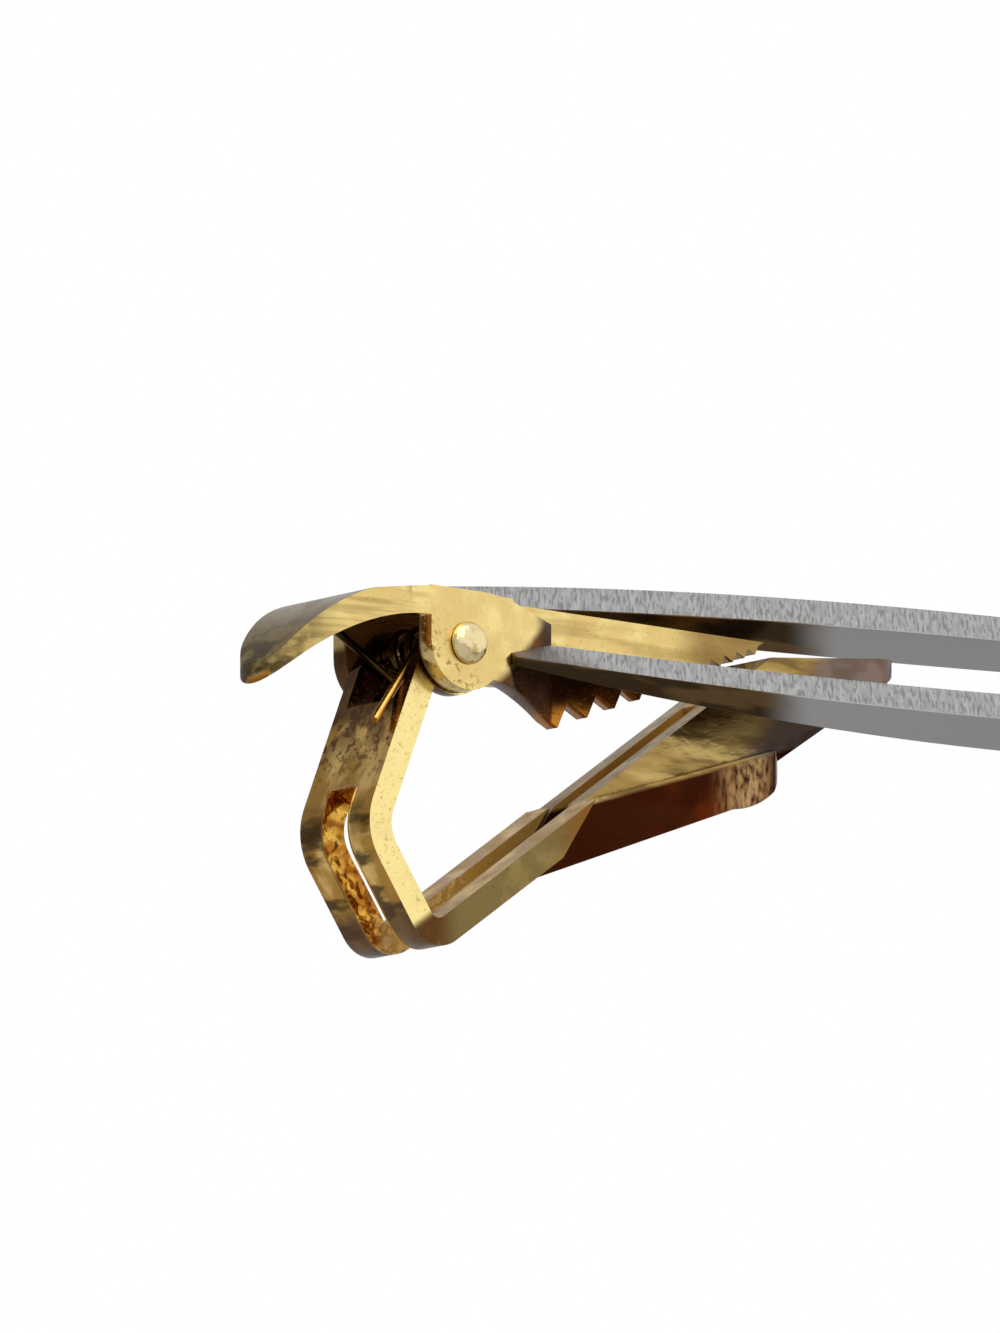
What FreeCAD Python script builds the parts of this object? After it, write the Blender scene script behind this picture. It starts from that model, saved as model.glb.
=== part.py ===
"""Tie clip: an open front frame on a sprung alligator jaw.

Millimetres, +Z up. The origin is the middle of the hinge pin, +X runs along the
front frame away from the thumb tab, and +Y is the hinge axis.
"""
import FreeCAD
import Part
import Sketcher
import math
import os
from FreeCAD import Placement, Rotation, Vector

SIZES = {
    # Sheet and strip stock
    "sheet_thick": 0.6,
    "cheek_thick": 0.7,
    "strip_thick": 1.0,
    "strip_half": 1.95,
    # Hinge
    "pin_radius": 0.55,
    "pin_fit": 0.02,
    "ear_fit": 0.05,
    "head_radius": 0.78,
    "head_rise": 0.42,
    "head_flat": 0.25,
    "head_seat": 0.03,
    "side_play": 0.1,
    # Thumb tab
    "tab_reach": 7.65,
    "tab_taper": 2.5,
    "tab_side": 6.6,
    "tab_side_half": 1.7,
    "tab_swell": 0.28,
    "tab_tip_top": 1.45,
    "tab_tip_deep": 0.5,
    "tab_crown": 1.55,
    "tab_crown_back": 4.2,
    "tab_bulge": 0.32,
    "tab_hollow": 0.0,
    "tab_hollow_back": 5.2,
    "flange_root": 0.85,
    # Cheeks and neck
    "cheek_radius": 1.68,
    "web_rise": 0.25,
    "neck_start": 1.9,
    "neck_end": 4.9,
    "neck_top": 1.4,
    "web_end": 2.4,
    "crown_end": 1.0,
    "belly_at": 3.6,
    "belly_drop": 1.68,
    # Toothed blades
    "blade_half": 1.55,
    "blade_thick": 0.6,
    "near_blade_top": 0.5,
    "near_blade_end": 11.3,
    "far_blade_top": 2.5,
    "far_blade_end": 17.2,
    "far_tooth_start": 9.9,
    "far_belly_drop": 0.5,
    "tooth_start": 5.2,
    "tooth_pitch": 1.4,
    "tooth_shrink": 0.92,
    "tooth_deep": 0.8,
    "tooth_drop": 2.32,
    "tooth_rise": 20.5,
    # Front frame
    "frame_start": 2.0,
    "frame_length": 50.0,
    "frame_cap": 1.6,
    "frame_half_end": 3.5,
    "frame_half_middle": 6.1,
    "slot_half_end": 1.5,
    "slot_half_middle": 3.2,
    "slot_end_wall": 2.5,
    "frame_thick": 1.3,
    "frame_thin": 0.25,
    "frame_height": 1.3,
    "frame_lean": 29.0,
    "frame_pitch": 2.9,
    # Lower jaw strip
    "leg_lean": 22.0,
    "heel_lean": 35.0,
    "arm_rise": 35.0,
    "bend_back": 3.02,
    "bend_drop": 6.82,
    "leg_length": 6.25,
    "heel_length": 3.9,
    "arm_length": 9.1,
    "end_slant": 2.6,
    "bend_radius": 1.3,
    "heel_radius": 0.4,
    "ear_thick": 0.5,
    "ear_radius": 0.95,
    "ear_lobe": 1.75,
    "limb_slot_half": 0.7,
    "limb_slot_top": 1.25,
    "notch_half": 1.42,
    "notch_deep": 1.5,
    # Nose piece
    "nose_tail": 1.5,
    "nose_half": 1.85,
    "nose_wall": 1.75,
    "nose_rise": 17.5,
    "nose_length": 10.1,
    "nose_round": 3.2,
    "chin_round": 3.0,
    "tongue_half": 1.3,
    "tongue_reach": 10.9,
    "lip_thick": 0.4,
    "lip_length": 6.6,
    "lip_rise": 6.0,
    "groove_reach": 7.5,
    "groove_half": 0.45,
    "groove_deep": 0.45,
    # Torsion spring
    "wire": 0.32,
    "coil_play": 0.1,
    "coil_half": 1.2,
    "back_leg": 4.1,
    "back_leg_spread": 13.0,
    "tab_leg": 3.2,
    "tab_leg_rise": 29.5,
}

doc = FreeCAD.newDocument("tie_clip")
sheet = doc.addObject("Spreadsheet::Sheet", "Sizes")
for row, (alias, value) in enumerate(SIZES.items(), start=1):
    sheet.set(f"A{row}", alias)
    sheet.set(f"B{row}", str(value))
    sheet.setAlias(f"B{row}", alias)
doc.recompute()


def size(formula):
    """The value of a formula written in the sheet's names."""
    return float(sheet.evalExpression(in_sheet(formula)))


def in_sheet(formula):
    """The same formula with every name of the sheet made a full reference."""
    text = str(formula)
    out = ""
    word = ""
    for letter in text + " ":
        if letter.isalnum() or letter == "_":
            word += letter
            continue
        out += f"Sizes.{word}" if word in SIZES else word
        word = ""
        out += letter
    return out.strip()


# Sketches: every corner is placed from the sheet

SIDE = Rotation(Vector(1, 0, 0), 90)
PLAN = Rotation()


def pin_point(sketch, geometry, end, place):
    """Ties one point of a sketch to two formulas."""
    for kind, formula in zip(("DistanceX", "DistanceY"), place):
        row = Sketcher.Constraint(kind, -1, 1, geometry, end, size(formula))
        number = sketch.addConstraint(row)
        sketch.setExpression(f"Constraints[{number}]", in_sheet(formula))


def draw(sketch, start, steps):
    """A closed outline: a step is a corner, or a middle point and an end of an arc."""
    here = start
    joints = []
    for step in list(steps) + [start]:
        spot = Vector(size(here[0]), size(here[1]), 0)
        if isinstance(step[0], tuple):
            middle, end = step
            through = Vector(size(middle[0]), size(middle[1]), 0)
            stop = Vector(size(end[0]), size(end[1]), 0)
            leftward = (through - spot).cross(stop - through).z > 0
            arc = Part.Arc(spot, through, stop) if leftward else Part.Arc(stop, through, spot)
            number = sketch.addGeometry(arc)
            joints.append((number, (1, 2) if leftward else (2, 1)))
            mark = sketch.addGeometry(Part.Point(through), True)
            pin_point(sketch, mark, 1, middle)
            sketch.addConstraint(Sketcher.Constraint("PointOnObject", mark, 1, number))
        else:
            end = step
            stop = Vector(size(end[0]), size(end[1]), 0)
            number = sketch.addGeometry(Part.LineSegment(spot, stop))
            joints.append((number, (1, 2)))
        pin_point(sketch, number, joints[-1][1][0], here)
        here = end
    for index, (number, ends) in enumerate(joints):
        following, next_ends = joints[(index + 1) % len(joints)]
        link = Sketcher.Constraint("Coincident", number, ends[1], following, next_ends[0])
        sketch.addConstraint(link)


def slab(name, turn, start, steps, low, high):
    """An outline pushed out along its plane's normal, from one formula to another."""
    sketch = doc.addObject("Sketcher::SketchObject", f"{name}_outline")
    sketch.Placement = Placement(Vector(), turn)
    draw(sketch, start, steps)
    solid = doc.addObject("Part::Extrusion", name)
    solid.Base = sketch
    solid.DirMode = "Custom"
    solid.Dir = Vector(0, 1, 0) if turn is SIDE else Vector(0, 0, 1)
    solid.Solid = True
    solid.setExpression("LengthFwd", in_sheet(high))
    solid.setExpression("LengthRev", in_sheet(f"-({low})"))
    return solid


def rod(name, radius, low, high):
    """A round bar on the hinge axis."""
    bar = doc.addObject("Part::Cylinder", name)
    bar.setExpression("Radius", in_sheet(radius))
    bar.setExpression("Height", in_sheet(f"({high})-({low})"))
    bar.Placement = Placement(Vector(), Rotation(Vector(1, 0, 0), -90))
    bar.setExpression("Placement.Base.y", in_sheet(low))
    return bar


def join(kind, name, *pieces):
    """A boolean of the Part kinds: MultiFuse, MultiCommon or Cut."""
    whole = doc.addObject(f"Part::{kind}", name)
    if kind == "Cut":
        whole.Base, whole.Tool = pieces
    else:
        whole.Shapes = list(pieces)
    return whole


# Shared places

CHANNEL_HALF = "strip_half+side_play"
CHEEK_HALF = f"{CHANNEL_HALF}+cheek_thick"
WEB_TOP = "cheek_radius+web_rise"
WEB_UNDER = f"{WEB_TOP}-sheet_thick"
OPEN = "4*cheek_radius"


# Upper jaw

def tooth_points(first, last):
    """Tips and roots of the saw teeth, from the blade's end back to the first tip."""
    line = "-tooth_drop+tan(tooth_rise)*(0-tooth_start"
    points = []
    tip = "tooth_start"
    step = 0
    while size(tip) < size(last):
        shrunk = f"tooth_shrink^{step}"
        root = f"{tip}+tooth_pitch*{shrunk}/3"
        if size(tip) >= size(first):
            points.append((tip, f"{line}+{tip})"))
        if size(first) < size(root) < size(last):
            points.append((root, f"{line}+{root})+tooth_deep*{shrunk}"))
        step += 1
        tip = f"tooth_start+tooth_pitch*(1-tooth_shrink^{step})/(1-tooth_shrink)"
    return points[::-1]


def jaw_wall(name, side, top_run, top, teeth, belly):
    """One side wall of the upper jaw: cheek, neck and toothed blade."""
    last = teeth[-1]
    outer = f"{side}*({CHEEK_HALF})"
    inner = f"{side}*({CHANNEL_HALF})"
    blade_out = f"{side}*blade_half"
    blade_in = f"{side}*(blade_half-blade_thick)"
    back = "-cheek_radius"
    plan = slab(f"{name}_plan", PLAN, (back, outer),
                [("neck_start", outer), ("neck_end", blade_out), (last, blade_out),
                 (last, blade_in), ("neck_end-blade_thick/3", blade_in),
                 ("neck_start-blade_thick/3", inner), (back, inner)],
                f"-({OPEN})", OPEN)
    profile = slab(f"{name}_side", SIDE, (back, 0),
                   [(back, WEB_TOP), ("crown_end", WEB_TOP)] + top_run + [(last, top)]
                   + tooth_points(*teeth) + [belly, (0, 0)],
                   f"-({OPEN})", OPEN)
    bent = join("MultiCommon", f"{name}_bent", plan, profile)
    low, high = sorted((inner, outer), key=size)
    disc = rod(f"{name}_cheek", "cheek_radius", low, high)
    return join("MultiFuse", name, bent, disc)


def make_upper_jaw():
    """Thumb tab, web, both walls and the pin's bore, as one pressing."""
    root = "-cheek_radius*0.9"
    brink = "-(tab_crown_back+tab_reach)/2-tab_bulge"
    brink_top = "(tab_crown-tab_tip_top)/2+tab_bulge"
    top_run = ((brink, brink_top), ("-tab_reach", "-tab_tip_top"))
    low_run = (("-tab_hollow_back", "tab_hollow"), (root, "flange_root"))
    outside = slab("tab_side", SIDE, (root, WEB_TOP),
                   [("-tab_crown_back", "tab_crown"), top_run,
                    ("-tab_reach", "-tab_tip_top-tab_tip_deep"), low_run],
                   f"-({CHEEK_HALF})", CHEEK_HALF)

    def tapered(name, inset):
        half = f"{CHEEK_HALF}-{inset}"
        side = f"tab_side_half-{inset}"
        swell = ("-(tab_taper+tab_side)/2", f"({half}+{side})/2+tab_swell")
        return slab(name, PLAN, ("0", f"-({half})"),
                    [("0", half), ("-tab_taper", half), (swell, ("-tab_side", side)),
                     ((f"-tab_reach+{inset}", 0), ("-tab_side", f"-({side})")),
                     ((swell[0], f"-({swell[1]})"), ("-tab_taper", f"-({half})"))],
                    f"-({OPEN})", OPEN)

    plan = tapered("tab_plan", "0")
    tab = join("MultiCommon", "tab_block", outside, plan)
    inside_run = ((brink, f"{brink_top}-sheet_thick"), ("-tab_reach", "-tab_tip_top-sheet_thick"))
    hollow_side = slab("tab_hollow_side", SIDE, ("0", WEB_UNDER),
                       [(root, WEB_UNDER), ("-tab_crown_back", "tab_crown-sheet_thick"), inside_run,
                        ("-tab_reach", f"-({OPEN})"), ("0", f"-({OPEN})")],
                       f"-({CHANNEL_HALF})", CHANNEL_HALF)
    hollow_plan = tapered("tab_hollow_plan", "cheek_thick")
    hollow = join("MultiCommon", "tab_hollow_block", hollow_side, hollow_plan)
    shell = join("Cut", "tab_shell", tab, hollow)
    web = slab("web", SIDE, (root, WEB_UNDER),
               [(root, WEB_TOP), ("web_end", WEB_TOP), ("web_end", WEB_UNDER)],
               f"-({CHANNEL_HALF})-cheek_thick/2", f"{CHANNEL_HALF}+cheek_thick/2")
    near_run = [("neck_end", "neck_top"), ("neck_end", "near_blade_top")]
    near_belly = (("belly_at", "-belly_drop"), ("cheek_radius*cos(45)", "-cheek_radius*sin(45)"))
    near = jaw_wall("near_wall", "-1", near_run, "near_blade_top",
                    ("tooth_start", "near_blade_end"), near_belly)
    far_run = [("neck_start", "far_blade_top")]
    far_belly = (0, "-far_belly_drop")
    far = jaw_wall("far_wall", "1", far_run, "far_blade_top",
                   ("far_tooth_start", "far_blade_end"), far_belly)
    blank = join("MultiFuse", "jaw_blank", shell, web, near, far)
    bore = rod("jaw_bore", "pin_radius+pin_fit", f"-({OPEN})", OPEN)
    return join("Cut", "upper_jaw", blank, bore)


# Front frame

def make_front_frame():
    """Two rails that swell to the middle and join at the far end, leaned on the neck."""
    middle = "frame_start+frame_length/2"
    stop = "frame_start+frame_length"
    slot_stop = f"{stop}-slot_end_wall"
    plan = slab("frame_plan", PLAN, ("frame_start", "-frame_half_end"),
                [((middle, "-frame_half_middle"), (stop, "-frame_half_end")),
                 ((f"{stop}+frame_cap", 0), (stop, "frame_half_end")),
                 ((middle, "frame_half_middle"), ("frame_start", "frame_half_end"))],
                "-2*frame_thick", "0")
    belly = slab("frame_belly", SIDE, ("frame_start-frame_cap", "frame_thick"),
                 [("frame_start-frame_cap", "-frame_thin"),
                  ((middle, "-frame_thick"), (f"{stop}+frame_cap", "-frame_thin")),
                  (f"{stop}+frame_cap", "frame_thick")],
                 "-2*frame_half_middle", "2*frame_half_middle")
    slot = slab("frame_slot", PLAN, ("0", "-slot_half_end"),
                [("frame_start", "-slot_half_end"),
                 ((middle, "-slot_half_middle"), (slot_stop, "-slot_half_end")),
                 ((f"{slot_stop}+slot_half_end", 0), (slot_stop, "slot_half_end")),
                 ((middle, "slot_half_middle"), ("frame_start", "slot_half_end")),
                 ("0", "slot_half_end")],
                "-3*frame_thick", "frame_thick")
    plate = join("MultiCommon", "frame_plate", plan, belly)
    rails = join("Cut", "frame_rails", plate, slot)
    rails.setExpression("Placement", in_sheet(
        "placement(vector(0; 0; frame_height); "
        "rotation(vector(0; 1; 0); -frame_pitch) * rotation(vector(1; 0; 0); frame_lean))"))
    seat = slab("frame_seat", PLAN, ("-cheek_radius", f"-({CHEEK_HALF})"),
                [("neck_start", f"-({CHEEK_HALF})"), ("neck_end", "-blade_half"),
                 ("far_blade_end", "-blade_half"), ("far_blade_end", "blade_half"),
                 ("neck_end", "blade_half"), ("neck_start", CHEEK_HALF),
                 ("-cheek_radius", CHEEK_HALF)],
                f"-({OPEN})", OPEN)
    return join("Cut", "front_frame", rails, seat)


# Lower jaw

LEG_WAY = "270-leg_lean"
HEEL_WAY = "270+heel_lean"
ARM_WAY = "360+arm_rise"
BEND = ("-bend_back", "-bend_drop")


def along(place, way, distance):
    """A place moved by a distance in the direction of an angle."""
    return (f"{place[0]}+({distance})*cos({way})", f"{place[1]}+({distance})*sin({way})")


HEEL = along(BEND, HEEL_WAY, "heel_length")
LEG_TOP = along(BEND, LEG_WAY, "-leg_length")
ARM_END = along(HEEL, ARM_WAY, "arm_length")
ARM_UNDER = along(along(ARM_END, f"{ARM_WAY}-90", "strip_thick"), ARM_WAY, "-end_slant")


def bend(corner, before, after, radius, out):
    """Start, middle and end of a bend, on the strip's inside or a distance outside it."""
    half = f"({after}-({before}))/2"
    start = along(along(corner, before, f"-{radius}*tan({half})"), f"{before}-90", out)
    end = along(along(corner, after, f"{radius}*tan({half})"), f"{after}-90", out)
    middle = along(corner, f"({before}+{after})/2+90", f"{radius}/cos({half})-{radius}-{out}")
    return start, middle, end


def make_lower_jaw():
    """The bent strip with its long slot, two ears and a notch for the spring."""
    bend_in = bend(BEND, LEG_WAY, HEEL_WAY, "bend_radius", "0")
    bend_out = bend(BEND, LEG_WAY, HEEL_WAY, "bend_radius", "strip_thick")
    heel_in = bend(HEEL, HEEL_WAY, ARM_WAY, "heel_radius", "0")
    heel_out = bend(HEEL, HEEL_WAY, ARM_WAY, "heel_radius", "strip_thick")
    leg_top_out = along(LEG_TOP, f"{LEG_WAY}-90", "strip_thick")
    strip = slab("strip", SIDE, LEG_TOP,
                 [bend_in[0], (bend_in[1], bend_in[2]), heel_in[0], (heel_in[1], heel_in[2]),
                  ARM_END, ARM_UNDER,
                  heel_out[2], (heel_out[1], heel_out[0]),
                  bend_out[2], (bend_out[1], bend_out[0]), leg_top_out],
                 "-strip_half", "strip_half")
    ear_foot = along(LEG_TOP, LEG_WAY, "ear_lobe")
    lobe_end = along(("0", "0"), "240", "ear_lobe")
    lobe_side = along(("0", "0"), "290", "ear_lobe")
    lobe_start = along(("0", "0"), "340", "ear_lobe")
    ears = []
    for name, low, high in (("near_ear", "-strip_half", "-strip_half+ear_thick"),
                            ("far_ear", "strip_half-ear_thick", "strip_half")):
        plate = slab(f"{name}_plate", SIDE, leg_top_out,
                     [along(("0", "0"), "150", "ear_radius"), along(("0", "0"), "30", "ear_radius"),
                      lobe_start, (lobe_side, lobe_end), ear_foot], low, high)
        ears += [plate, rod(f"{name}_eye", "ear_radius", low, high)]
    blank = join("MultiFuse", "strip_blank", strip, *ears)
    slot_top = along(BEND, LEG_WAY, "-limb_slot_top")
    slot_end = along(HEEL, ARM_WAY, "arm_length+strip_thick")
    clear = "3*strip_thick"
    slot = slab("limb_slot", SIDE, along(slot_top, f"{LEG_WAY}-90", clear),
                [along(slot_top, f"{LEG_WAY}+90", "strip_thick"),
                 along(slot_end, f"{ARM_WAY}+90", "strip_thick"),
                 along(slot_end, f"{ARM_WAY}-90", clear),
                 along(HEEL, "270", clear), along(HEEL, "225", f"2*{clear}")],
                "-limb_slot_half", "limb_slot_half")
    notch_floor = along(LEG_TOP, LEG_WAY, "notch_deep")
    notch_head = along(LEG_TOP, LEG_WAY, "-strip_thick")
    notch = slab("spring_notch", SIDE, along(notch_floor, f"{LEG_WAY}+90", "strip_thick"),
                 [along(notch_floor, f"{LEG_WAY}-90", "2*strip_thick"),
                  along(notch_head, f"{LEG_WAY}-90", "2*strip_thick"),
                  along(notch_head, f"{LEG_WAY}+90", "strip_thick")],
                 "-notch_half", "notch_half")
    bore = rod("ear_bore", "pin_radius+ear_fit", f"-({OPEN})", OPEN)
    cuts = join("MultiFuse", "strip_cuts", slot, notch, bore)
    return join("Cut", "lower_jaw", blank, cuts)


# Nose piece

def make_nose_piece():
    """The jaw's end: a rounded hood with side walls, and a grooved wedge that ends in a lip."""
    tail = along(ARM_UNDER, ARM_WAY, "-nose_tail")
    brow = along(ARM_END, "nose_rise", "nose_length")
    chin = (brow[0], f"{brow[1]}-nose_wall")
    jowl = (f"{chin[0]}-chin_round", f"{chin[1]}-chin_round*tan(nose_rise)")
    curve = ((f"{chin[0]}-chin_round/4", f"{chin[1]}+nose_wall/8"), jowl)
    hood = slab("nose_side", SIDE, tail, [ARM_UNDER, ARM_END, brow, curve], "-nose_half", "nose_half")

    def rounded(name, inset):
        half = f"nose_half-{inset}"
        tip = f"{brow[0]}-{inset}"
        return slab(name, PLAN, ("0", f"-({half})"),
                    [(f"{tip}-nose_round", f"-({half})"),
                     ((tip, 0), (f"{tip}-nose_round", half)), ("0", half)],
                    "-10*nose_wall", "10*nose_wall")

    outside = join("MultiCommon", "nose_hood", hood, rounded("nose_plan", "0"))
    inner_start = (ARM_END[0], f"{ARM_END[1]}-strip_thick-1.5*sheet_thick")
    inner_brow = (brow[0], f"{brow[1]}-sheet_thick")
    inner_side = slab("nose_hollow_side", SIDE, inner_start,
                      [inner_brow, (chin[0], f"{chin[1]}-3*nose_wall"),
                       (ARM_END[0], f"{chin[1]}-3*nose_wall")],
                      "-nose_half", "nose_half")
    inside = join("MultiCommon", "nose_hollow", inner_side, rounded("nose_hollow_plan", "sheet_thick"))
    shell = join("Cut", "nose_shell", outside, inside)
    rise = along(ARM_END, ARM_WAY, "tongue_reach")
    lip = along(rise, "lip_rise", "lip_length")
    tongue_side = slab("tongue_side", SIDE, ARM_END,
                       [rise, lip, along(lip, "lip_rise-90", "lip_thick"),
                        (f"{brow[0]}-nose_wall/2", f"{brow[1]}-nose_wall/2")],
                       "-tongue_half", "tongue_half")
    tongue_plan = slab("tongue_plan", PLAN, ("0", "-tongue_half"),
                       [(f"{lip[0]}-tongue_half", "-tongue_half"),
                        ((lip[0], 0), (f"{lip[0]}-tongue_half", "tongue_half")),
                        ("0", "tongue_half")],
                       "-10*nose_wall", "10*nose_wall")
    tongue = join("MultiCommon", "tongue", tongue_side, tongue_plan)
    blank = join("MultiFuse", "nose_blank", shell, tongue)
    groove_start = along(ARM_END, ARM_WAY, "-strip_thick")
    groove_end = along(ARM_END, ARM_WAY, "groove_reach")
    groove = slab("tongue_groove", SIDE, along(groove_start, f"{ARM_WAY}-90", "groove_deep"),
                  [along(groove_end, f"{ARM_WAY}-90", "groove_deep"),
                   along(groove_end, f"{ARM_WAY}+90", "strip_thick"),
                   along(groove_start, f"{ARM_WAY}+90", "strip_thick")],
                  "-groove_half", "groove_half")
    return join("Cut", "nose_piece", blank, groove)


# Hinge pin

def make_hinge_pin():
    """A turned pin with a domed head riveted over at each end."""
    body = doc.addObject("PartDesign::Body", "hinge_pin")
    sketch = body.newObject("Sketcher::SketchObject", "pin_half")
    plane = next(item for item in body.Origin.OriginFeatures if item.Role == "XY_Plane")
    sketch.AttachmentSupport = [(plane, "")]
    sketch.MapMode = "FlatFace"
    seat = f"{CHEEK_HALF}+head_seat"
    crown = f"{seat}+head_rise"
    shoulder = "(head_radius+head_flat)/2+head_rise/4"
    slope = f"{seat}+head_rise*3/4"
    draw(sketch, (0, f"-({crown})"),
         [("head_flat", f"-({crown})"),
          ((shoulder, f"-({slope})"), ("head_radius", f"-({seat})")), ("pin_radius", f"-({seat})"),
          ("pin_radius", seat), ("head_radius", seat), ((shoulder, slope), ("head_flat", crown)),
          (0, crown)])
    turned = body.newObject("PartDesign::Revolution", "pin_turned")
    turned.Profile = sketch
    turned.ReferenceAxis = (sketch, ["V_Axis"])
    turned.Angle = 360
    return body


# Torsion spring

def arc_from(start, way, end):
    """The arc that leaves a point in a given direction and ends at another point."""
    chord = end - start
    unit = Vector(chord).normalize()
    aside = way - unit * way.dot(unit)
    if aside.Length < 1e-9:
        return Part.LineSegment(start, end).toShape()
    bulge = chord.Length / 2 * math.tan(way.getAngle(unit) / 2)
    return Part.Arc(start, (start + end) / 2 + aside.normalize() * bulge, end).toShape()


def biarc(start, way, end, way_out):
    """Two arcs that leave one point and reach another in given directions."""
    gap = end - start
    both = way + way_out
    open_part = 2 * (1 - way.dot(way_out))
    reach = (math.sqrt(gap.dot(both) ** 2 + open_part * gap.dot(gap)) - gap.dot(both)) / open_part
    meet = (start + end + (way - way_out) * reach) / 2
    first = arc_from(start, way, meet)
    second = arc_from(end, way_out * -1, meet)
    return [first, second]


def make_torsion_spring():
    """One wire: a leg under the tab, the coils on the pin, and a leg on the lower jaw's back."""
    radius = size("pin_radius+coil_play+wire/2")
    half = size("coil_half")
    first = math.radians(270 - size("tab_leg_rise"))
    last = math.radians(180 - size("leg_lean+back_leg_spread")) + 6 * math.pi
    quarters = max(4, round((last - first) / (math.pi / 2)))
    climb = -2 * half / (last - first)

    def spot(angle):
        return Vector(radius * math.cos(angle), half + climb * (angle - first), radius * math.sin(angle))

    def heading(angle):
        slope = climb if first < angle < last else 0
        return Vector(-radius * math.sin(angle), slope, radius * math.cos(angle)).normalize()

    angles = [first + (last - first) * step / quarters for step in range(quarters)] + [last]
    tab_tip = spot(first) - heading(first) * size("tab_leg")
    back_tip = spot(last) + heading(last) * size("back_leg")
    edges = [Part.LineSegment(tab_tip, spot(first)).toShape()]
    for here, there in zip(angles, angles[1:]):
        edges += biarc(spot(here), heading(here), spot(there), heading(there))
    edges.append(Part.LineSegment(spot(last), back_tip).toShape())
    path = Part.Wire(edges)
    ring = Part.Wire(Part.Circle(tab_tip, heading(first), size("wire") / 2).toShape())
    spring = doc.addObject("Part::Feature", "torsion_spring")
    spring.Shape = path.makePipeShell([ring], True, False)
    spring.Placement = Placement()
    points = path.discretize(Number=400)
    span = path.Length / 400
    apart = int(math.pi * radius / span)
    least = min(one.distanceToPoint(other) for index, one in enumerate(points)
                for other in points[index + apart:])
    print("torsion_spring: least gap to itself", round(least - size("wire"), 2), "mm")
    return spring


# Build, check and write

parts = [make_upper_jaw(), make_front_frame(), make_lower_jaw(), make_nose_piece(),
         make_hinge_pin(), make_torsion_spring()]
doc.recompute()
for item in doc.Objects:
    if "Invalid" in item.State or "Error" in item.State:
        raise RuntimeError(f"{item.Name} failed: {item.State}")
for part in parts:
    if part.Shape.isNull() or not part.Shape.isValid() or len(part.Shape.Solids) != 1:
        raise RuntimeError(f"{part.Label} is not one sound solid")
os.makedirs("parts", exist_ok=True)
for part in parts:
    part.Shape.exportStep(f"parts/{part.Label}.step")
    print(part.Label, round(part.Shape.Volume, 2), "mm3")
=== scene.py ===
# %% [markdown]
# # A tie clip, dressed piece by piece
# The clip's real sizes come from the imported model. Each piece here is a merged copy of its
# solid with its press-worn edges rounded, because a sharp edge never catches light as metal does.

# %% Load the frame
import bmesh
import bpy
import math
from mathutils import Matrix, Vector


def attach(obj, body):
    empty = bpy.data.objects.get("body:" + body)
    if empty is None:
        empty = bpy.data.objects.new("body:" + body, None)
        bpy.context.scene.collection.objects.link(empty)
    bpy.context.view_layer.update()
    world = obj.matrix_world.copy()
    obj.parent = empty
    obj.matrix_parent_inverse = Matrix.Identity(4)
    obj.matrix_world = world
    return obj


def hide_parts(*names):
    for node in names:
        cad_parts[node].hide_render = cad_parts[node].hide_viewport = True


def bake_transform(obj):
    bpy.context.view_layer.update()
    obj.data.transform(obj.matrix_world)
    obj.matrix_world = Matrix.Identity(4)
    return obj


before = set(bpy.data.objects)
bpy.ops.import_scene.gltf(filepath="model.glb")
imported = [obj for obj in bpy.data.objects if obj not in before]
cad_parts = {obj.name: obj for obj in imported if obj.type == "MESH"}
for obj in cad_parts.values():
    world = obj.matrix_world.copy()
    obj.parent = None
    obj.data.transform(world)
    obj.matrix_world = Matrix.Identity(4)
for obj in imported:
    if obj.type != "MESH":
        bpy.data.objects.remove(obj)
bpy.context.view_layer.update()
MM = 0.001
print("nodes", sorted(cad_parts))


# %% [markdown]
# ## Rounded copies
# A pressed or filed edge has a radius of about a tenth of a millimetre. The solid's loose
# triangles are merged, flat areas become single faces, and the edges that turn sharply are
# bevelled. A Bevel modifier could do it too, but the operator can leave chosen edges alone.

# %% Copy, merge and round
MERGE_GAP = 0.002 * MM
FLAT_ANGLE = math.radians(0.6)
CREASE_ANGLE = math.radians(38)


def merged_copy(node):
    """A bmesh of a solid's triangles, joined up, with flat areas made into single faces."""
    shape = bmesh.new()
    shape.from_mesh(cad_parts[node].data)
    bmesh.ops.remove_doubles(shape, verts=shape.verts, dist=MERGE_GAP)
    bmesh.ops.dissolve_limit(shape, angle_limit=FLAT_ANGLE, verts=shape.verts, edges=shape.edges)
    return shape


def sharp_edges(shape, least, test=None):
    """The edges that turn by at least an angle in degrees, and pass a test of their middle in mm."""
    chosen = []
    for edge in shape.edges:
        if len(edge.link_faces) != 2 or edge.calc_face_angle() < math.radians(least):
            continue
        middle = (edge.verts[0].co + edge.verts[1].co) / 2 / MM
        if test is None or test(middle):
            chosen.append(edge)
    return chosen


def round_edges(shape, edges, radius, segments):
    """Bevels edges to a radius in mm."""
    bmesh.ops.bevel(shape, geom=edges, offset=radius * MM, offset_type="OFFSET", affect="EDGES",
                    segments=segments, profile=0.5, material=-1, clamp_overlap=True)


def dress(node, shape, finish):
    """Makes a piece of a shape, in place of its solid. A weighted normal keeps flat faces level."""
    mesh = bpy.data.meshes.new(f"{node}_dressed")
    for face in shape.faces:
        face.smooth = True
    shape.to_mesh(mesh)
    shape.free()
    mesh.set_sharp_from_angle(angle=CREASE_ANGLE)
    piece = bpy.data.objects.new(f"{node}_dressed", mesh)
    bpy.context.collection.objects.link(piece)
    mesh.materials.append(finish)
    even = piece.modifiers.new("even_shading", "WEIGHTED_NORMAL")
    even.keep_sharp = True
    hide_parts(node)
    print(piece.name, len(mesh.polygons), "faces")
    return piece


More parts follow.
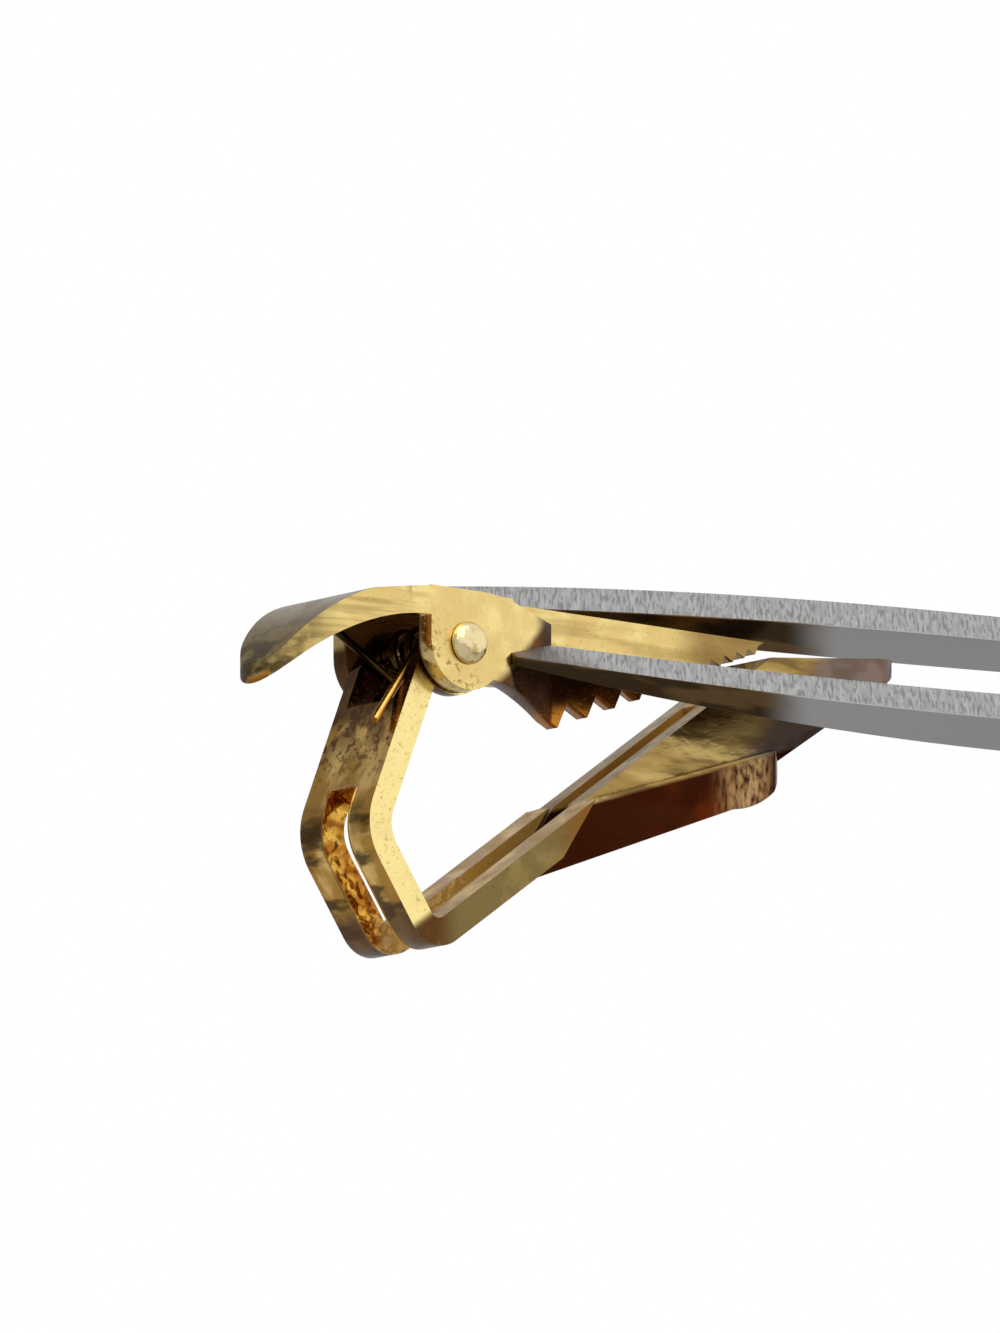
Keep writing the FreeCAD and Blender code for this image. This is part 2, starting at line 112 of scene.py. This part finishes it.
# %% [markdown]
# ## Metal finishes
# Plated metal is a colour that changes over the piece, with light painted in: near edges carry a
# painted highlight, hollows are painted brown as shade, and small pits show where the plating broke.
# Each finish reads Object coordinates in millimetres, so that a mark stays where it is on the piece.

# %% Node helpers
class Finish:
    """A metal whose colour is painted in layers, with a bump."""

    def __init__(self, name, colour, roughness):
        self.material = bpy.data.materials.new(name)
        self.material.use_nodes = True
        self.nodes = self.material.node_tree.nodes
        self.links = self.material.node_tree.links
        self.shader = self.nodes["Principled BSDF"]
        self.shader.inputs["Metallic"].default_value = 1.0
        self.shader.inputs["Roughness"].default_value = roughness
        coords = self.nodes.new("ShaderNodeTexCoord")
        scale = self.nodes.new("ShaderNodeMapping")
        scale.inputs["Scale"].default_value = (1000, 1000, 1000)
        self.links.new(coords.outputs["Object"], scale.inputs["Vector"])
        self.place = scale.outputs["Vector"]
        self.normal = coords.outputs["Normal"]
        self.base = (*colour, 1)
        self.colour = None
        self.height = None

    def along(self, direction, start, end, source=None):
        """A mask that is 0 at one distance in mm along a direction and 1 at another."""
        dot = self.nodes.new("ShaderNodeVectorMath")
        dot.operation = "DOT_PRODUCT"
        dot.inputs[1].default_value = direction
        self.links.new(source or self.place, dot.inputs[0])
        return self.ramp(dot.outputs["Value"], start, end)

    def facing(self, direction, start, end):
        """A mask of the faces that look along a direction, by how far, from -1 to 1."""
        return self.along(direction, start, end, self.normal)

    def ramp(self, value, start, end):
        """A mask that is 0 where a value is at its start and 1 at its end, which may be lower."""
        step = self.nodes.new("ShaderNodeMapRange")
        step.interpolation_type = "SMOOTHSTEP"
        step.inputs["From Min"].default_value = start
        step.inputs["From Max"].default_value = end
        if start > end:
            step.inputs["From Min"].default_value = end
            step.inputs["From Max"].default_value = start
            step.inputs["To Min"].default_value = 1
            step.inputs["To Max"].default_value = 0
        self.links.new(value, step.inputs["Value"])
        return step.outputs["Result"]

    def slanted(self, direction):
        """Object coordinates with X replaced by the distance along a slanted direction."""
        dot = self.nodes.new("ShaderNodeVectorMath")
        dot.operation = "DOT_PRODUCT"
        dot.inputs[1].default_value = direction
        self.links.new(self.place, dot.inputs[0])
        split = self.nodes.new("ShaderNodeSeparateXYZ")
        self.links.new(self.place, split.inputs[0])
        joined = self.nodes.new("ShaderNodeCombineXYZ")
        self.links.new(dot.outputs["Value"], joined.inputs["X"])
        self.links.new(split.outputs["Y"], joined.inputs["Y"])
        return joined.outputs[0]

    def cloud(self, scale, start, end, stretch=(1, 1, 1), detail=4.0, source=None):
        """Patches of noise, so many to a millimetre, cut between two levels."""
        size = self.nodes.new("ShaderNodeMapping")
        size.inputs["Scale"].default_value = stretch
        self.links.new(source or self.place, size.inputs["Vector"])
        noise = self.nodes.new("ShaderNodeTexNoise")
        noise.inputs["Scale"].default_value = scale
        noise.inputs["Detail"].default_value = detail
        self.links.new(size.outputs["Vector"], noise.inputs["Vector"])
        return self.ramp(noise.outputs["Fac"], start, end)

    def across(self):
        """The distance to either side of the clip's middle plane."""
        split = self.nodes.new("ShaderNodeSeparateXYZ")
        self.links.new(self.place, split.inputs[0])
        distance = self.nodes.new("ShaderNodeMath")
        distance.operation = "ABSOLUTE"
        self.links.new(split.outputs["Y"], distance.inputs[0])
        return distance.outputs[0]

    def both(self, *masks):
        """All of several masks at once."""
        whole = masks[0]
        for mask in masks[1:]:
            times = self.nodes.new("ShaderNodeMath")
            times.operation = "MULTIPLY"
            self.links.new(whole, times.inputs[0])
            self.links.new(mask, times.inputs[1])
            whole = times.outputs[0]
        return whole

    def weak(self, mask, share):
        """A share of a mask."""
        times = self.nodes.new("ShaderNodeMath")
        times.operation = "MULTIPLY"
        times.inputs[1].default_value = share
        self.links.new(mask, times.inputs[0])
        return times.outputs[0]

    def paint(self, mask, colour, share=1.0):
        """Lays a colour over what is there, where the mask is 1. A share under 1 covers less."""
        if share < 1:
            mask = self.weak(mask, share)
        mix = self.nodes.new("ShaderNodeMix")
        mix.data_type = "RGBA"
        self.links.new(mask, mix.inputs["Factor"])
        mix.inputs[6].default_value = self.base
        if self.colour:
            self.links.new(self.colour, mix.inputs[6])
        mix.inputs[7].default_value = (*colour, 1)
        self.colour = mix.outputs[2]

    def dent(self, mask, distance, strength):
        """Raises the surface by a distance in mm where the mask is 1."""
        bump = self.nodes.new("ShaderNodeBump")
        bump.inputs["Strength"].default_value = strength
        bump.inputs["Distance"].default_value = distance * MM
        self.links.new(mask, bump.inputs["Height"])
        if self.height:
            self.links.new(self.height, bump.inputs["Normal"])
        self.height = bump.outputs["Normal"]

    def gloss(self, mask, low, high):
        """A roughness that goes from low to high with the mask."""
        step = self.nodes.new("ShaderNodeMapRange")
        step.inputs["To Min"].default_value = low
        step.inputs["To Max"].default_value = high
        self.links.new(mask, step.inputs["Value"])
        self.links.new(step.outputs["Result"], self.shader.inputs["Roughness"])

    def dull_metal(self, *masks):
        """Dulls the metal where any of the masks is 1, so that the colour painted there, such as
        painted shade in hollows, shows matt.
        """
        dull = masks[0]
        for mask in masks[1:]:
            most = self.nodes.new("ShaderNodeMath")
            most.operation = "MAXIMUM"
            self.links.new(dull, most.inputs[0])
            self.links.new(mask, most.inputs[1])
            dull = most.outputs[0]
        step = self.nodes.new("ShaderNodeMapRange")
        step.inputs["To Min"].default_value = 1.0
        step.inputs["To Max"].default_value = 0.15
        self.links.new(dull, step.inputs["Value"])
        self.links.new(step.outputs["Result"], self.shader.inputs["Metallic"])

    def done(self):
        """Joins the colour and the bump to the shader."""
        self.links.new(self.colour, self.shader.inputs["Base Color"])
        if self.height:
            self.links.new(self.height, self.shader.inputs["Normal"])
        return self.material


PALE_GOLD = (0.74, 0.54, 0.2)
BRIGHT_GOLD = (0.92, 0.74, 0.3)
AMBER = (0.55, 0.21, 0.022)
ALONG_CLIP = (1, 0, 0)
ALONG_PIN = (0, 1, 0)
TO_FRONT = (0, 0, 1)


# %% [markdown]
# ## Front frame
# The frame's front is brushed across its rails, and its edges are polished and grey. Beside the gold
# jaw the edge carries a painted reflection of the jaw in shade, dark brown with painted gold glints.
# The grain is noise squeezed along the rail.

# %% Brushed front and polished edges
POLISHED_EDGE = (0.4, 0.39, 0.385)
JAW_SHADE = (0.05, 0.03, 0.014)
GOLD_GLINT = (0.2, 0.12, 0.05)
GRAIN_GREY = (0.56, 0.56, 0.55)
SCORE_GREY = (0.17, 0.17, 0.17)
RAIL_END_BROWN = (0.13, 0.095, 0.085)
STEEL_GREY = (0.38, 0.38, 0.37)
LEAN = math.radians(29)
PITCH = math.radians(2.9)
FRONT = tuple(Matrix.Rotation(-PITCH, 3, "Y") @ Matrix.Rotation(LEAN, 3, "X") @ Vector(TO_FRONT))
ALONG_RAILS = (1, -1.05, 0)
BRUSH_WAY = (1, -0.84, 0)

front_metal = Finish("silver_front", POLISHED_EDGE, 0.2)
# Painted reflection and shade: the rail edges beside the gold jaw are dark brown with painted gold
# glints
near_jaw = front_metal.along(ALONG_RAILS, 19.6, 16.8)
front_metal.paint(near_jaw, JAW_SHADE)
glints = front_metal.cloud(0.55, 0.48, 0.62, (0.35, 2.5, 2.5))
front_metal.paint(front_metal.both(near_jaw, glints), GOLD_GLINT, 0.5)
is_front = front_metal.facing(FRONT, 0.86, 0.95)
front_metal.paint(is_front, STEEL_GREY)
brushed = front_metal.slanted(BRUSH_WAY)
grain = front_metal.cloud(2.4, 0.34, 0.66, (1.7, 0.25, 0), 6.0, brushed)
front_metal.paint(front_metal.both(is_front, grain), GRAIN_GREY, 0.8)
scores = front_metal.cloud(5.0, 0.5, 0.6, (1.5, 0.2, 0), 3.0, brushed)
front_metal.paint(front_metal.both(is_front, scores), SCORE_GREY, 0.75)
rail_end = front_metal.both(is_front, front_metal.along(ALONG_PIN, -1.0, -2.0),
                            front_metal.along(ALONG_CLIP, 6.5, 3.2))
front_metal.paint(rail_end, RAIL_END_BROWN, 0.85)
front_metal.dent(front_metal.both(is_front, grain), distance=0.03, strength=0.5)
front_metal.gloss(is_front, low=0.16, high=0.4)
frame_shape = merged_copy("front_frame")
round_edges(frame_shape, sharp_edges(frame_shape, least=40), radius=0.06, segments=2)
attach(dress("front_frame", frame_shape, front_metal.done()), "front")


# %% [markdown]
# ## Upper jaw
# The lever is one pressing. Its cheek is rubbed bright, and its neck and near blade carry painted
# shade, dark brown. The tab keeps its crisp edges, because a bevel on its many short edges collapses
# and bends the light.

# %% Thumb tab, cheeks and toothed blades
SCUFF_BROWN = (0.3, 0.2, 0.06)
TIP_BRONZE = (0.22, 0.14, 0.04)
TIP_MARK = (0.05, 0.03, 0.01)
RUST_SPECK = (0.3, 0.15, 0.035)
NECK_BROWN = (0.075, 0.021, 0.004)
NECK_RED = (0.18, 0.055, 0.008)
NECK_SHADE = (0.04, 0.022, 0.008)
STREAK_GOLD = (0.38, 0.24, 0.07)
TOOTH_SHADE_BROWN = (0.2, 0.11, 0.03)
UNDER_TAB_BROWN = (0.2, 0.08, 0.02)
INSIDE_BROWN = (0.2, 0.075, 0.018)
RIM_BROWN = (0.07, 0.025, 0.007)
WALL_BROWN = (0.22, 0.085, 0.018)
UNDER_TIP_AMBER = (0.4, 0.18, 0.03)
TOP_SHADE_OLIVE = (0.2, 0.135, 0.045)
RIM_WAY = (0.7, 0, 0.7)
NECK_WAY = (1, 0, -1.2)
TEETH_WAY = (-0.35, 0, 0.937)
TAB_WAY = (-0.14, 0, 1)
TAB_ROOT = -2.4

jaw_metal = Finish("gold_jaw", PALE_GOLD, 0.2)
jaw_metal.paint(jaw_metal.cloud(0.7, 0.42, 0.68), BRIGHT_GOLD, 0.7)
on_tab = jaw_metal.along(ALONG_CLIP, -1.2, -2.6)
# Painted shade by facing: the tab's upward faces are painted olive
looks_up = jaw_metal.facing(TO_FRONT, 0.15, 0.75)
jaw_metal.paint(jaw_metal.both(on_tab, looks_up), TOP_SHADE_OLIVE, 0.85)
scuffs = jaw_metal.cloud(1.6, 0.46, 0.66, (0.22, 0.22, 2.2))
jaw_metal.paint(jaw_metal.both(on_tab, scuffs), SCUFF_BROWN, 0.5)
toward_tip = jaw_metal.along(ALONG_CLIP, -5.2, -7.4)
jaw_metal.paint(toward_tip, TIP_BRONZE, 0.6)
tip_marks = jaw_metal.both(toward_tip, jaw_metal.cloud(0.8, 0.42, 0.56, (1, 1, 1.6)))
jaw_metal.paint(tip_marks, TIP_MARK, 0.8)
# Painted shade by facing: the tab's downward faces are painted amber
low_face_shade = jaw_metal.both(on_tab, jaw_metal.facing(TO_FRONT, -0.35, -0.75))
jaw_metal.paint(low_face_shade, AMBER, 0.9)
near_side = jaw_metal.along(ALONG_PIN, 0.2, -0.2)
rusted = jaw_metal.both(near_side, jaw_metal.along(RIM_WAY, 0.1, -1.3),
                        jaw_metal.along(ALONG_CLIP, -2.2, -1.6), jaw_metal.cloud(4.6, 0.56, 0.63))
jaw_metal.paint(rusted, RUST_SPECK, 0.7)
# Painted shade on the neck and near blade: dark brown with red patches, lightening to amber at the
# tooth tips
shaded_neck = jaw_metal.both(jaw_metal.along(NECK_WAY, 2.5, 3.2), near_side)
jaw_metal.paint(shaded_neck, NECK_BROWN, 0.97)
neck_patches = jaw_metal.both(shaded_neck, jaw_metal.cloud(0.6, 0.5, 0.65))
jaw_metal.paint(neck_patches, NECK_RED, 0.7)
tips = jaw_metal.both(shaded_neck, jaw_metal.along(TEETH_WAY, -2.9, -3.85))
jaw_metal.paint(tips, AMBER, 0.85)
neck_end = jaw_metal.both(jaw_metal.along(ALONG_CLIP, 3.6, 4.6), near_side,
                          jaw_metal.along(TO_FRONT, 0.0, 0.3))
jaw_metal.paint(neck_end, NECK_SHADE, 0.9)
far_blade = jaw_metal.both(jaw_metal.along(ALONG_PIN, 0.2, 0.6), jaw_metal.along(ALONG_CLIP, 5.0, 6.5))
blade_streaks = jaw_metal.both(far_blade, jaw_metal.cloud(0.5, 0.42, 0.6, (0.3, 1, 3)))
jaw_metal.paint(blade_streaks, STREAK_GOLD, 0.55)
# Painted shade at the far blade's teeth
far_teeth = jaw_metal.both(far_blade, jaw_metal.along(ALONG_CLIP, 12.5, 14.5))
jaw_metal.paint(far_teeth, TOOTH_SHADE_BROWN, 0.75)
# Painted shade in the hollows under the tab and inside the cheeks: dark browns on the far wall and rim,
# amber under the tab's tip
behind_neck = jaw_metal.along(ALONG_CLIP, 2.6, 1.6)
under_tab = jaw_metal.both(jaw_metal.along(TAB_WAY, 1.3, 1.5),
                           jaw_metal.facing(TO_FRONT, -0.3, -0.6), behind_neck)
jaw_metal.paint(under_tab, UNDER_TAB_BROWN, 0.97)
within = jaw_metal.both(jaw_metal.ramp(jaw_metal.across(), 2.2, 2.09),
                        jaw_metal.along(ALONG_CLIP, -2.6, -2.3))
inside = jaw_metal.both(within, behind_neck, jaw_metal.facing(TO_FRONT, 0.3, -0.1))
jaw_metal.paint(inside, INSIDE_BROWN, 0.97)
far_rim = jaw_metal.both(jaw_metal.along(ALONG_PIN, 1.8, 2.0), jaw_metal.along(TO_FRONT, 0.5, 0.1),
                         behind_neck, jaw_metal.facing(ALONG_PIN, 0.8, 0.5))
jaw_metal.paint(far_rim, RIM_BROWN, 0.95)
far_wall = jaw_metal.both(jaw_metal.along(ALONG_PIN, 0.4, 0.8), behind_neck,
                          jaw_metal.facing(ALONG_PIN, -0.3, -0.7))
jaw_metal.paint(far_wall, WALL_BROWN, 0.9)
under_tip = jaw_metal.both(far_wall, jaw_metal.along(ALONG_CLIP, -2.2, -4.0))
jaw_metal.paint(under_tip, UNDER_TIP_AMBER, 0.85)
jaw_metal.dull_metal(inside, far_wall, under_tab)
jaw_metal.dent(jaw_metal.cloud(7.0, 0.28, 0.4), distance=0.02, strength=0.4)
jaw_metal.gloss(jaw_metal.cloud(1.1, 0.35, 0.7), low=0.14, high=0.3)
jaw_shape = merged_copy("upper_jaw")
off_tab = sharp_edges(jaw_shape, least=44, test=lambda middle: middle.x > TAB_ROOT)
round_edges(jaw_shape, off_tab, radius=0.08, segments=2)
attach(dress("upper_jaw", jaw_shape, jaw_metal.done()), "front")


# %% [markdown]
# ## Lower jaw
# A strip of stock, slotted and bent. Its near cut edges carry a painted highlight, pale on the leg;
# on the arm they are painted olive as shade, with painted gleams. Its broad face is mottled, with
# painted dark reflection bands and gleams at the bend, and painted shade at its top under the tab.
# Its slot keeps the rough amber wall that the press left, with painted gleams.

# %% Slotted strip
STRIP_BRONZE = (0.52, 0.28, 0.055)
STRIP_GOLD = (0.9, 0.6, 0.2)
DARK_REFLECTION_BAND = (0.07, 0.042, 0.016)
BEND_GLEAM = (0.74, 0.56, 0.24)
HEEL_BROWN = (0.1, 0.05, 0.03)
SPECK_BROWN = (0.09, 0.035, 0.009)
LEG_BROWN = (0.12, 0.042, 0.009)
LEG_HEAD_BROWN = (0.07, 0.026, 0.007)
SLOT_AMBER = (0.42, 0.16, 0.018)
SLOT_GOLD = (0.74, 0.42, 0.07)
ARM_SLOT_AMBER = (0.55, 0.3, 0.06)
PIT_BROWN = (0.45, 0.27, 0.06)
ARM_OLIVE = (0.16, 0.11, 0.036)
ARM_GOLD = (0.3, 0.21, 0.07)
HEEL_RUST = (0.1, 0.034, 0.009)
ARM_END_BROWN = (0.22, 0.085, 0.014)
EAR_BROWN = (0.08, 0.032, 0.008)
HEEL_WAY = (0.35, 0, 1)
DOWN_LEG = (-0.375, 0, -0.927)
DOWN_HEEL = (0.574, 0, -0.819)

strip_metal = Finish("gold_strip", STRIP_BRONZE, 0.24)
strip_metal.paint(strip_metal.cloud(0.8, 0.42, 0.62, (1, 1, 0.5)), STRIP_GOLD)
# Painted reflection at the leg's first bend: dark bands and pale gleams
reflection_bands = strip_metal.cloud(0.9, 0.46, 0.56, (0.5, 0.3, 1.3))
below_bend = strip_metal.both(strip_metal.along(TO_FRONT, -5.4, -6.8),
                              strip_metal.along(ALONG_CLIP, 0.4, -0.6))
strip_metal.paint(strip_metal.both(reflection_bands, below_bend), DARK_REFLECTION_BAND, 0.9)
gleams = strip_metal.cloud(0.8, 0.58, 0.68, (0.4, 0.3, 1.6))
strip_metal.paint(strip_metal.both(gleams, below_bend), BEND_GLEAM, 0.8)
heel = strip_metal.along(HEEL_WAY, -10.0, -10.7)
strip_metal.paint(heel, HEEL_BROWN, 0.85)
specks = strip_metal.both(strip_metal.along(TO_FRONT, -6.0, -3.4), strip_metal.cloud(3.2, 0.52, 0.6))
strip_metal.paint(specks, SPECK_BROWN, 0.8)
leg_stain = strip_metal.both(strip_metal.along(TO_FRONT, -4.6, -2.6), strip_metal.cloud(1.1, 0.4, 0.52))
strip_metal.paint(leg_stain, LEG_BROWN, 0.85)
# Painted shade: the top of the leg, under the tab, is painted dark brown
leg_head = strip_metal.along(TO_FRONT, -3.2, -2.2)
strip_metal.paint(leg_head, LEG_HEAD_BROWN, 0.85)
in_slot = strip_metal.ramp(strip_metal.across(), 0.84, 0.74)
slot_wall = strip_metal.both(in_slot, strip_metal.along(DOWN_LEG, 6.1, 6.25))
strip_metal.paint(slot_wall, SLOT_AMBER)
# Painted highlight: gold gleams on the slot wall
slot_gleam = strip_metal.both(slot_wall, strip_metal.cloud(1.4, 0.44, 0.62, detail=1.5))
strip_metal.paint(slot_gleam, SLOT_GOLD)
arm_slot = strip_metal.both(in_slot, strip_metal.along(ALONG_CLIP, -1.6, -0.8))
strip_metal.paint(arm_slot, ARM_SLOT_AMBER, 0.95)
# Painted highlight: the near cut edges, which face the light, are painted bright gold
outermost = strip_metal.ramp(strip_metal.across(), 1.6, 1.75)
near_edge = strip_metal.both(outermost, strip_metal.facing(ALONG_PIN, -0.5, -0.8))
strip_metal.paint(near_edge, BRIGHT_GOLD)
edge_pits = strip_metal.both(near_edge, strip_metal.cloud(5.0, 0.62, 0.68))
strip_metal.paint(edge_pits, PIT_BROWN, 0.5)
# Painted shade and highlight: the arm's near edge is painted olive, with painted gold gleams
on_arm = strip_metal.both(near_edge, strip_metal.along(DOWN_HEEL, 7.2, 7.6))
strip_metal.paint(on_arm, ARM_OLIVE, 0.95)
arm_gleam = strip_metal.both(on_arm, strip_metal.cloud(0.7, 0.5, 0.62))
strip_metal.paint(arm_gleam, ARM_GOLD, 0.6)
heel_stain = strip_metal.both(on_arm, strip_metal.along(ALONG_CLIP, 0.6, -0.9),
                              strip_metal.cloud(1.1, 0.3, 0.5))
strip_metal.paint(heel_stain, HEEL_RUST, 0.9)
arm_end = strip_metal.both(near_edge, strip_metal.along(ALONG_CLIP, 4.2, 6.2))
strip_metal.paint(arm_end, ARM_END_BROWN, 0.8)
# Painted shade: the ears between the cheeks are painted dark brown
ears = strip_metal.along(TO_FRONT, -1.7, -0.9)
strip_metal.paint(ears, EAR_BROWN, 0.95)
strip_metal.dent(strip_metal.cloud(7.0, 0.28, 0.4), distance=0.025, strength=0.4)
slot_lumps = strip_metal.both(slot_wall, strip_metal.cloud(1.7, 0.2, 0.8, detail=1.0))
strip_metal.dent(slot_lumps, distance=0.25, strength=0.6)
strip_metal.dull_metal(arm_slot)
strip_metal.gloss(strip_metal.cloud(1.3, 0.35, 0.7), low=0.16, high=0.34)
strip_shape = merged_copy("lower_jaw")
round_edges(strip_shape, sharp_edges(strip_shape, least=40), radius=0.12, segments=3)
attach(dress("lower_jaw", strip_shape, strip_metal.done()), "jaw")


# %% [markdown]
# ## Nose piece
# The hood under the jaw's end is painted dark brown as shade, with red patches, and has bright worn
# metal where it curves. The tongue above it is streaked gold up to the lip, which is dull mauve and
# grey.

# %% Hood and tongue
NOSE_OLIVE = (0.36, 0.23, 0.07)
NOSE_GOLD = (0.52, 0.37, 0.13)
STREAK_BROWN = (0.12, 0.07, 0.028)
GROOVE_AMBER = (0.5, 0.28, 0.06)
LIP_MAUVE = (0.13, 0.09, 0.072)
LIP_GREY = (0.24, 0.18, 0.14)
HOOD_BROWN = (0.032, 0.0045, 0.0006)
HOOD_RED = (0.11, 0.017, 0.002)
WORN_COPPER = (0.5, 0.31, 0.13)
LIP_WAY = (1, 0, -0.9)
HOOD_WAY = (-0.301, 0, 0.954)

nose_metal = Finish("gold_nose", NOSE_OLIVE, 0.22)
streaks = nose_metal.cloud(0.8, 0.45, 0.6, (0.25, 1, 1.2))
nose_metal.paint(streaks, NOSE_GOLD)
dark_streaks = nose_metal.cloud(0.9, 0.52, 0.62, (0.25, 1, 1.4))
nose_metal.paint(dark_streaks, STREAK_BROWN, 0.7)
in_groove = nose_metal.ramp(nose_metal.across(), 0.52, 0.46)
groove = nose_metal.both(in_groove, nose_metal.along(ALONG_CLIP, 13.2, 12.8))
nose_metal.paint(groove, GROOVE_AMBER)
nose_metal.dull_metal(groove)
lip = nose_metal.along(LIP_WAY, 15.7, 17.2)
nose_metal.paint(lip, LIP_MAUVE, 0.95)
lip_patches = nose_metal.both(lip, nose_metal.cloud(0.6, 0.48, 0.62))
nose_metal.paint(lip_patches, LIP_GREY, 0.6)
# Painted shade on the hood under the jaw's end: dark brown with red patches
hood_side = nose_metal.along(HOOD_WAY, -6.62, -6.8)
nose_metal.paint(hood_side, HOOD_BROWN, 0.99)
red_shade_patches = nose_metal.both(hood_side, nose_metal.along(ALONG_CLIP, 8.5, 12.0),
                           nose_metal.cloud(0.5, 0.42, 0.62))
nose_metal.paint(red_shade_patches, HOOD_RED, 0.75)
worn = nose_metal.both(hood_side, nose_metal.along(ALONG_CLIP, 12.0, 14.0),
                       nose_metal.along(ALONG_CLIP, 15.4, 14.4),
                       nose_metal.cloud(3.4, 0.3, 0.66, (1.4, 1.4, 0.6)))
nose_metal.paint(worn, WORN_COPPER, 0.9)
nose_metal.dent(nose_metal.cloud(3.0, 0.35, 0.6, (0.4, 1, 0.7)), distance=0.02, strength=0.3)
nose_shape = merged_copy("nose_piece")
round_edges(nose_shape, sharp_edges(nose_shape, least=40), radius=0.14, segments=3)
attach(dress("nose_piece", nose_shape, nose_metal.done()), "jaw")


# %% [markdown]
# ## Pin and spring
# The pin's heads are hammered over, and the wire is drawn and plated. One leg of the wire stays
# under the tab and the other goes with the lower jaw; here the spring is left unattached, with its
# placing baked into its mesh.

# %% Rivet and wire
RIVET_GOLD = (0.8, 0.66, 0.36)
RIVET_DULL = (0.5, 0.37, 0.16)
WIRE_GOLD = (0.72, 0.45, 0.1)
WIRE_BROWN = (0.45, 0.22, 0.04)
COIL_SHADE = (0.03, 0.015, 0.005)

rivet_metal = Finish("rivet", RIVET_GOLD, 0.12)
rivet_metal.paint(rivet_metal.cloud(1.6, 0.5, 0.7), RIVET_DULL)
rivet_metal.dent(rivet_metal.cloud(2.4, 0.35, 0.6), distance=0.04, strength=0.3)
pin_shape = merged_copy("hinge_pin")
round_edges(pin_shape, sharp_edges(pin_shape, least=40), radius=0.05, segments=2)
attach(dress("hinge_pin", pin_shape, rivet_metal.done()), "front")

wire_metal = Finish("spring_wire", WIRE_GOLD, 0.2)
wire_metal.paint(wire_metal.cloud(1.8, 0.5, 0.7), WIRE_BROWN)
near_coils = wire_metal.along(TO_FRONT, -1.6, -0.8)
wire_metal.paint(near_coils, COIL_SHADE, 0.95)
wire_shape = merged_copy("torsion_spring")
spring = dress("torsion_spring", wire_shape, wire_metal.done())
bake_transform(spring)


# %% [markdown]
# ## Floor, light and camera
# The clip is seen from a little below, so the floor lies well under it. A white world fills the
# picture. In reflections it is brighter on one side, for diffuse light it is dimmed, and one wide
# lamp adds to it.

# %% Floor
FLOOR_HALF = 1.5
FLOOR_LEVEL = -0.11
FLOOR_GREY = (0.8, 0.8, 0.8, 1)

floor_shape = bmesh.new()
bmesh.ops.create_grid(floor_shape, x_segments=1, y_segments=1, size=FLOOR_HALF,
                      matrix=Matrix.Translation((0, 0, FLOOR_LEVEL)))
floor_mesh = bpy.data.meshes.new("floor")
floor_shape.to_mesh(floor_mesh)
floor_shape.free()
floor = bpy.data.objects.new("floor", floor_mesh)
bpy.context.collection.objects.link(floor)
pale = bpy.data.materials.new("pale_floor")
pale.use_nodes = True
matt = pale.node_tree.nodes["Principled BSDF"]
matt.inputs["Base Color"].default_value = FLOOR_GREY
matt.inputs["Roughness"].default_value = 0.9
floor_mesh.materials.append(pale)

# %% World and lamp
LIGHT_FROM = (0.35, -0.85, 0.4)
DIMMEST, BRIGHTEST = 0.34, 1.08
DIFFUSE_LEVEL = 0.6

world = bpy.data.worlds.new("studio")
bpy.context.scene.world = world
world.use_nodes = True
sky_nodes = world.node_tree.nodes
sky_links = world.node_tree.links
sky = sky_nodes["Background"]
sky.inputs["Color"].default_value = (1, 1, 1, 1)
rays = sky_nodes.new("ShaderNodeLightPath")
either = sky_nodes.new("ShaderNodeMath")
either.operation = "MAXIMUM"
sky_links.new(rays.outputs["Is Camera Ray"], either.inputs[0])
sky_links.new(rays.outputs["Is Glossy Ray"], either.inputs[1])
level = sky_nodes.new("ShaderNodeMapRange")
level.inputs["To Min"].default_value = DIFFUSE_LEVEL
level.inputs["To Max"].default_value = 1.0
sky_links.new(either.outputs[0], level.inputs["Value"])
sky_links.new(level.outputs["Result"], sky.inputs["Strength"])
way = sky_nodes.new("ShaderNodeTexCoord")
facing = sky_nodes.new("ShaderNodeVectorMath")
facing.operation = "DOT_PRODUCT"
facing.inputs[1].default_value = LIGHT_FROM
sky_links.new(way.outputs["Generated"], facing.inputs[0])
shade = sky_nodes.new("ShaderNodeMapRange")
shade.inputs["From Min"].default_value = -0.7
shade.inputs["From Max"].default_value = 0.7
shade.inputs["To Min"].default_value = DIMMEST
shade.inputs["To Max"].default_value = BRIGHTEST
sky_links.new(facing.outputs["Value"], shade.inputs["Value"])
plain = sky_nodes.new("ShaderNodeMath")
plain.operation = "MAXIMUM"
sky_links.new(shade.outputs["Result"], plain.inputs[0])
sky_links.new(rays.outputs["Is Camera Ray"], plain.inputs[1])
sky_links.new(plain.outputs[0], sky.inputs["Color"])


def lamp(name, place, power, width):
    """A square lamp that looks at the clip's hinge."""
    light = bpy.data.lights.new(name, "AREA")
    light.energy = power
    light.size = width
    holder = bpy.data.objects.new(name, light)
    holder.location = place
    holder.rotation_euler = (-Vector(place)).to_track_quat("-Z", "Y").to_euler()
    bpy.context.collection.objects.link(holder)


lamp("key", place=(-0.25, -0.25, 0.5), power=1.8, width=0.7)

# %% Camera
RIGHT = Vector((0.766, -0.643, 0.0))
UP = Vector((-0.112, -0.133, 0.985))
TOWARDS = Vector((-0.633, -0.754, -0.174)).normalized()
CENTRE_RIGHT = 2.91
CENTRE_UP = -0.468
DISTANCE = 0.5

centre = (RIGHT * CENTRE_RIGHT + UP * CENTRE_UP) * MM
lens = bpy.data.cameras.new("camera")
lens.sensor_fit = "VERTICAL"
lens.sensor_height = 24
lens.lens = 252
lens.clip_start = 0.01
camera = bpy.data.objects.new("camera", lens)
camera.location = centre + TOWARDS * DISTANCE
camera.rotation_euler = (-TOWARDS).to_track_quat("-Z", "Y").to_euler()
bpy.context.collection.objects.link(camera)
bpy.context.scene.camera = camera
bpy.context.scene.view_settings.view_transform = "Standard"
